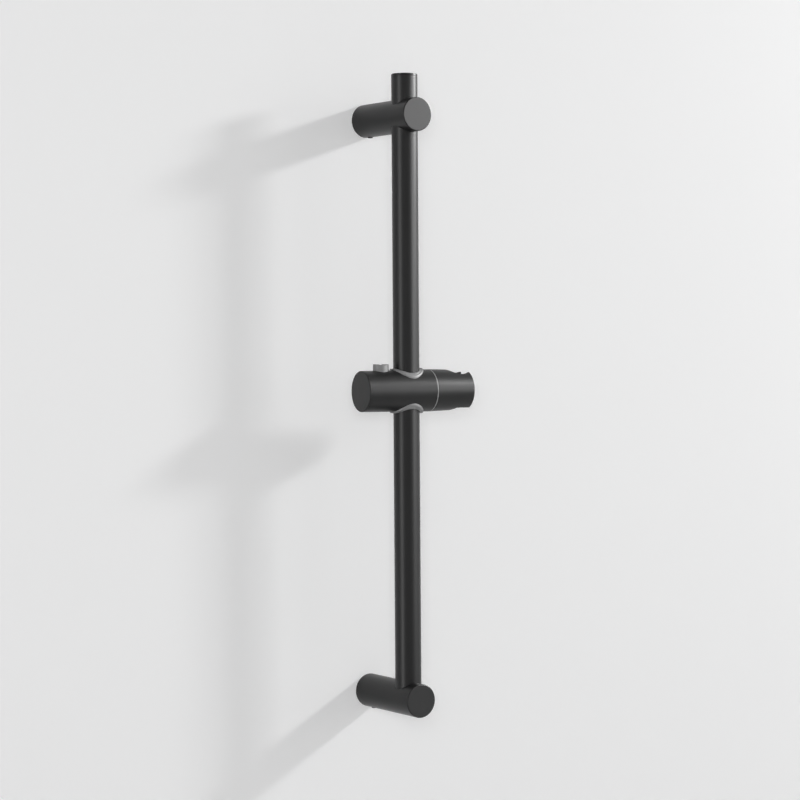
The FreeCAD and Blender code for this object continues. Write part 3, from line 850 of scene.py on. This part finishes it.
def makeButton():
    piece = turnPiece("releaseButton", [
        (button["flangeBottom"], 0),
        (button["flangeBottom"], button["flangeRadius"]),
        (button["flangeTop"], button["flangeRadius"]),
        (button["flangeTop"], button["radius"]),
        (button["top"], button["radius"]),
        (button["top"], 0),
    ], "Z", steps=128)
    middle = (0, 0, button["top"] + button["thumbRadius"] - button["thumbDepth"])
    reach = button["radius"] * button["toolReach"]
    groove = roundBar("groove", button["thumbRadius"], reach, middle, axis="Y", sides=256)
    cutWith(piece, groove)
    softenEdges(piece, button["rim"], segments=3)
    run = (button["flangeBottom"] - button["tongueTip"]) * button["wedgeSlope"]
    tongue = pushOutline("tongue", [
        (-button["tongueBack"], button["flangeTop"]),
        (-button["tongueBack"], button["flangeBottom"]),
        (run - button["tongueBack"], button["tongueTip"]),
        (button["tongueFront"], button["tongueTip"]),
        (button["tongueFront"], button["flangeTop"]),
    ], button["tongueWidth"])
    cutWith(piece, tongue, operation="UNION")
    placePiece(piece, x=button["x"])
    placeOnSlider(piece)
    finishPiece(piece, "button", "release_button", greyPlastic)


makeButton()
print("slider: barrel, bushes, holder and button done")

# brake spring between the end cap's floor and the shoe; the real spring is shortened by the shoe while the
# button is pressed, and here it is drawn at one length only
brakeSpring = {
    "start": -46.4,
    "length": 6.7,
    "radius": 6.2,
    "wire": 0.6,
    "wireSides": 16,
    "halfTurns": 9,
    "stepsPerHalf": 20,
    "floor": -47.1,
    "shoeBack": -39.1,
    "shoeTravel": 1.2,
}


def makeBrakeSpring():
    bpy.ops.object.select_all(action="DESELECT")
    bpy.ops.mesh.primitive_circle_add(
        vertices=brakeSpring["wireSides"],
        radius=brakeSpring["wire"] * mm,
        location=(0, 0, -brakeSpring["radius"] * mm),
        rotation=(math.pi / 2, 0, 0),
    )
    piece = bpy.context.object
    piece.name = "brakeSpring"
    bpy.ops.object.transform_apply(location=True, rotation=True, scale=True)
    coil = piece.modifiers.new("coil", "SCREW")
    coil.axis = "X"
    coil.angle = math.pi
    coil.screw_offset = brakeSpring["length"] / brakeSpring["halfTurns"] * mm
    coil.iterations = brakeSpring["halfTurns"]
    coil.steps = brakeSpring["stepsPerHalf"]
    coil.render_steps = brakeSpring["stepsPerHalf"]
    bpy.ops.object.modifier_apply(modifier=coil.name)
    bpy.ops.object.mode_set(mode="EDIT")
    bpy.ops.mesh.select_all(action="SELECT")
    bpy.ops.mesh.fill_holes(sides=0)
    bpy.ops.object.mode_set(mode="OBJECT")
    placePiece(piece, x=brakeSpring["start"])
    placeOnSlider(piece)
    finishPiece(piece, "slider", "brake_spring", screwSteel)
    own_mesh(piece)


makeBrakeSpring()

# inner pieces keep their nodes and get their finishes
innerFinishes = {
    "upper_glide_ring": glidePlastic,
    "lower_glide_ring": glidePlastic,
    "brake_shoe": glidePlastic,
    "brake_pad": brakeRubber,
    "disc_spring": screwSteel,
    "pivot_screw": screwSteel,
    "upper_rail_screw": screwSteel,
    "lower_rail_screw": screwSteel,
}
for nodeName, innerFinish in innerFinishes.items():
    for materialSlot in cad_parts[nodeName].material_slots:
        materialSlot.material = innerFinish
print("inner pieces:", len(innerFinishes), "finished")

# stage: a pale wall that only shows from the front, and a pale floor
stage = {
    "wallLeft": -1.6,
    "wallRight": 0.66,
    "wallTop": 1.4,
    "wallGap": 0.0004,
    "floorZ": -2.0,
    "floorSize": 18.0,
    "wallColour": (0.81, 0.81, 0.812),
    "floorColour": (0.80, 0.80, 0.80),
    "wallGlow": 0.3,
    "floorGlow": 0.55,
    "roughness": 0.9,
    "mottleScale": 1.2,
    "mottleDetail": 2.0,
    "mottleShade": 0.985,
}


def paleFinish(name, colour):
    finish, tree, shader = newFinish(name)
    shader.inputs["Roughness"].default_value = stage["roughness"]
    shader.inputs["Specular IOR Level"].default_value = 0.0
    place = addNode(tree, "ShaderNodeTexCoord")
    mottle = addNode(tree, "ShaderNodeTexNoise", {
        "Scale": stage["mottleScale"],
        "Detail": stage["mottleDetail"],
    })
    tree.links.new(place.outputs["Object"], mottle.inputs["Vector"])
    darker = [channel * stage["mottleShade"] for channel in colour]
    tone = blendColours(tree, mottle.outputs["Fac"], darker, colour)
    tree.links.new(tone, shader.inputs["Base Color"])
    return finish, tree, shader


# 1 where the camera, a gloss or a clear piece looks at the surface, 0 for soft light
def lookedAt(tree):
    path = addNode(tree, "ShaderNodeLightPath")
    source = path.outputs["Is Camera Ray"]
    for ray in ("Is Glossy Ray", "Is Transmission Ray"):
        either = addNode(tree, "ShaderNodeMath")
        either.operation = "MAXIMUM"
        tree.links.new(source, either.inputs[0])
        tree.links.new(path.outputs[ray], either.inputs[1])
        source = either.outputs["Value"]
    return source


# the wall is there for the camera and for gloss, and lets soft light through to the pieces' backs
def wallFinish():
    finish, tree, shader = paleFinish("paleWall", stage["wallColour"])
    shader.inputs["Emission Color"].default_value = (*stage["wallColour"], 1)
    shader.inputs["Emission Strength"].default_value = stage["wallGlow"]
    side = addNode(tree, "ShaderNodeNewGeometry")
    clear = addNode(tree, "ShaderNodeBsdfTransparent")
    front = addNode(tree, "ShaderNodeMath")
    front.operation = "SUBTRACT"
    front.use_clamp = True
    mix = addNode(tree, "ShaderNodeMixShader")
    tree.links.new(lookedAt(tree), front.inputs[0])
    tree.links.new(side.outputs["Backfacing"], front.inputs[1])
    tree.links.new(front.outputs["Value"], mix.inputs["Fac"])
    tree.links.new(clear.outputs["BSDF"], mix.inputs[1])
    tree.links.new(shader.outputs["BSDF"], mix.inputs[2])
    tree.links.new(mix.outputs["Shader"], tree.nodes["Material Output"].inputs["Surface"])
    return finish


# the floor is far below in the shade, so it glows to look as pale as it is
def floorFinish():
    finish, tree, shader = paleFinish("paleFloor", stage["floorColour"])
    glow = spread(tree, lookedAt(tree), 0, stage["floorGlow"], start=0, end=1)
    tree.links.new(glow, shader.inputs["Emission Strength"])
    shader.inputs["Emission Color"].default_value = (*stage["floorColour"], 1)
    return finish


def makeStage():
    width = stage["wallRight"] - stage["wallLeft"]
    height = stage["wallTop"] - stage["floorZ"]
    bpy.ops.object.select_all(action="DESELECT")
    bpy.ops.mesh.primitive_plane_add(size=1, rotation=(math.pi / 2, 0, 0))
    wall = bpy.context.object
    wall.name = "wall"
    wall.scale = (width, height, 1)
    wall.location = (stage["wallLeft"] + width / 2, stage["wallGap"], stage["floorZ"] + height / 2)
    wall.data.materials.append(wallFinish())
    bpy.ops.mesh.primitive_plane_add(size=stage["floorSize"], location=(0, 0, stage["floorZ"]))
    floor = bpy.context.object
    floor.name = "floor"
    floor.data.materials.append(floorFinish())


makeStage()

# lights, all aimed at the middle: places in metres, power in watts; soft ones light, gloss ones mirror
softLights = {
    "softKey": {"place": (2.37, -1.16, 1.07), "size": (0.36, 0.2), "power": 33.5},
    "softRight": {"place": (2.6, -1.9, 0.6), "size": (2.2, 2.2), "power": 14.2},
    "softFront": {"place": (-1.25, -1.93, 0.2), "size": (0.5, 0.5), "power": 12.3},
}
glossLights = {
    "glossKey": {"place": (2.37, -1.16, 1.07), "size": (0.45, 0.45), "power": 84.0},
    "glossKeyFar": {"place": (2.5, -0.86, 1.07), "size": (0.45, 0.45), "power": 93.0},
    "glossUpperRight": {"place": (1.62, -1.56, 1.3), "size": (0.5, 0.5), "power": 32.0},
    "glossRight": {"place": (1.446, -2.144, 0.272), "size": (1.0, 1.0), "power": 21.0},
    "glossFarRight": {"place": (2.03, -1.585, 0.362), "size": (0.8, 1.6), "power": 7.6},
    "glossUpperFront": {"place": (-0.37, -2.1, 1.49), "size": (1.2, 0.8), "power": 5.2},
    "glossLeft": {"place": (-2.7, -0.48, 0.1), "size": (1.0, 2.6), "power": 32.5},
}
ambience = {
    "front": 0.2,
    "back": 0.5,
    "frontBackdrop": 0.62,
    "backdrop": 0.86,
    "blendStart": 0.05,
    "blendEnd": 0.35,
}


def makeLights(lamps, isGloss):
    for name, lamp in lamps.items():
        bpy.ops.object.light_add(type="AREA", location=lamp["place"])
        light = bpy.context.object
        light.name = name
        light.data.shape = "RECTANGLE"
        light.data.size = lamp["size"][0]
        light.data.size_y = lamp["size"][1]
        light.data.energy = lamp["power"]
        light.visible_camera = False
        light.visible_diffuse = not isGloss
        light.visible_glossy = isGloss
        light.rotation_euler = (-Vector(lamp["place"])).to_track_quat("-Z", "Y").to_euler()
    print("lights:", len(lamps), "gloss" if isGloss else "soft")


# the world is dim in front of the wall and pale behind it, as the wall would throw light back
def makeWorld():
    world = bpy.data.worlds.new("roomLight")
    bpy.context.scene.world = world
    world.use_nodes = True
    tree = world.node_tree
    surround = tree.nodes["Background"]
    place = addNode(tree, "ShaderNodeTexCoord")
    split = addNode(tree, "ShaderNodeSeparateXYZ")
    tree.links.new(place.outputs["Generated"], split.inputs["Vector"])
    depth = split.outputs["Y"]
    start = ambience["blendStart"]
    end = ambience["blendEnd"]
    level = spread(tree, depth, ambience["front"], ambience["back"], start, end)
    look = spread(tree, depth, ambience["frontBackdrop"], ambience["backdrop"], start, end)
    choose = addNode(tree, "ShaderNodeMix")
    tree.links.new(lookedAt(tree), choose.inputs["Factor"])
    tree.links.new(level, choose.inputs["A"])
    tree.links.new(look, choose.inputs["B"])
    tree.links.new(choose.outputs["Result"], surround.inputs["Strength"])
    surround.inputs["Color"].default_value = (1, 1, 1, 1)


makeLights(softLights, False)
makeLights(glossLights, True)
makeWorld()

# camera: the photograph's place, turn and lens for a square picture
view = {
    "place": (-1.248866, -1.929291, 0.070361),
    "yaw": 33.7036,
    "pitch": -1.6013,
    "roll": -0.3920,
    "lens": 105.973,
    "sensor": 36.0,
}


def makeCamera():
    bpy.ops.object.camera_add(location=view["place"])
    camera = bpy.context.object
    camera.name = "photoCamera"
    camera.data.lens = view["lens"]
    camera.data.sensor_width = view["sensor"]
    turned = Matrix.Rotation(math.radians(-view["yaw"]), 4, "Z")
    tilted = Matrix.Rotation(math.radians(90 + view["pitch"]), 4, "X")
    rolled = Matrix.Rotation(math.radians(view["roll"]), 4, "Z")
    camera.rotation_euler = (turned @ tilted @ rolled).to_euler()
    bpy.context.scene.camera = camera


makeCamera()
bpy.context.scene.view_settings.view_transform = "Standard"
